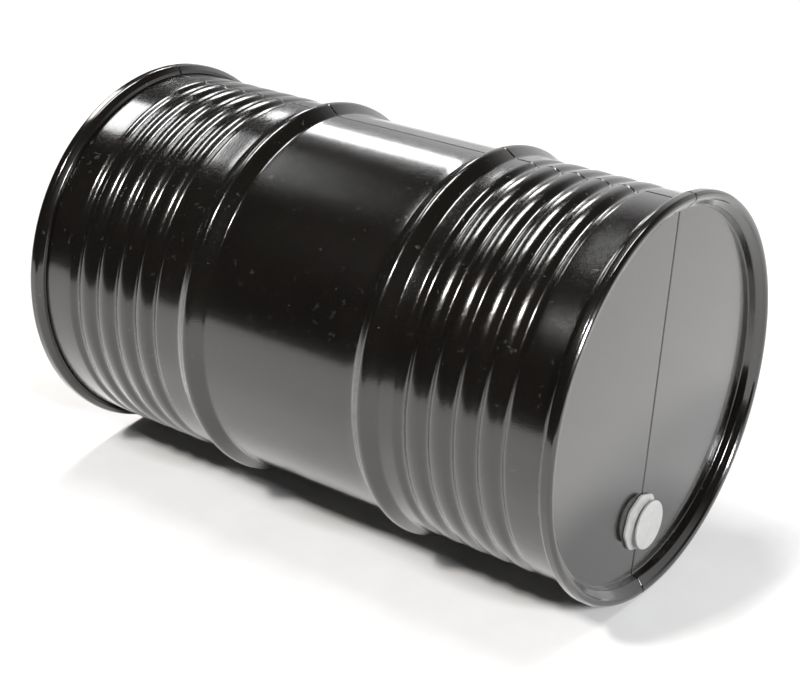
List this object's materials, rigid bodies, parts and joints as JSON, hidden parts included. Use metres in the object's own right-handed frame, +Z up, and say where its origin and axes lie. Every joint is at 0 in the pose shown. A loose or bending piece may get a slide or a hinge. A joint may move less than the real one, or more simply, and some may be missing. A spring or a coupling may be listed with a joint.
{
  "type": "steel oil drum",
  "caption": "Black tight-head steel oil drum lying on its side, with rolling hoops, ribbed ends, raised rims and a silver screw plug in one head, split lengthways into halves.",
  "frame": {"origin": "on the floor below the middle of the lying drum", "axes": "+X along the drum's axis towards the head with the screw plug, +Z up"},
  "size_m": [0.941, 0.585, 0.585],
  "materials": {
    "black_paint": "gloss black paint with a fine orange peel",
    "silver_paint": "smooth light silver paint",
    "bare_steel": "plain oiled sheet",
    "gasket_rubber": "matte black",
    "sealing_compound": "matte tan compound"
  },
  "bodies": {
    "drum": {"shell_left": "black_paint", "shell_right": "black_paint", "front_head_left": "black_paint", "front_head_right": "black_paint", "rear_head_left": "black_paint", "rear_head_right": "black_paint", "front_rim_seal_left": "sealing_compound", "front_rim_seal_right": "sealing_compound", "rear_rim_seal_left": "sealing_compound", "rear_rim_seal_right": "sealing_compound", "seam_strap_upper": "bare_steel", "seam_strap_lower": "bare_steel", "rear_head_strap": "bare_steel", "front_head_strap_upper": "bare_steel", "front_head_strap_lower": "bare_steel", "bung_flange": "silver_paint", "flange_gasket": "gasket_rubber"},
    "lifting_gasket": {"plug_gasket": "gasket_rubber"},
    "plug": {"bung_plug": "silver_paint"}
  },
  "joints": [
    {"name": "bung_lift", "type": "slide", "parent": "drum", "child": "lifting_gasket", "axis": [1, 0, 0], "range_m": [0, 0.0175]},
    {"name": "bung_turn", "type": "hinge", "parent": "lifting_gasket", "child": "plug", "pos_m": [0.449, -0.02217, 0.10934], "axis": [1, 0, 0], "range_deg": [0, 2700]}
  ],
  "couplings": [
    {"joint": "bung_lift", "follows": "bung_turn", "m_per_rad": 0.00036748}
  ]
}
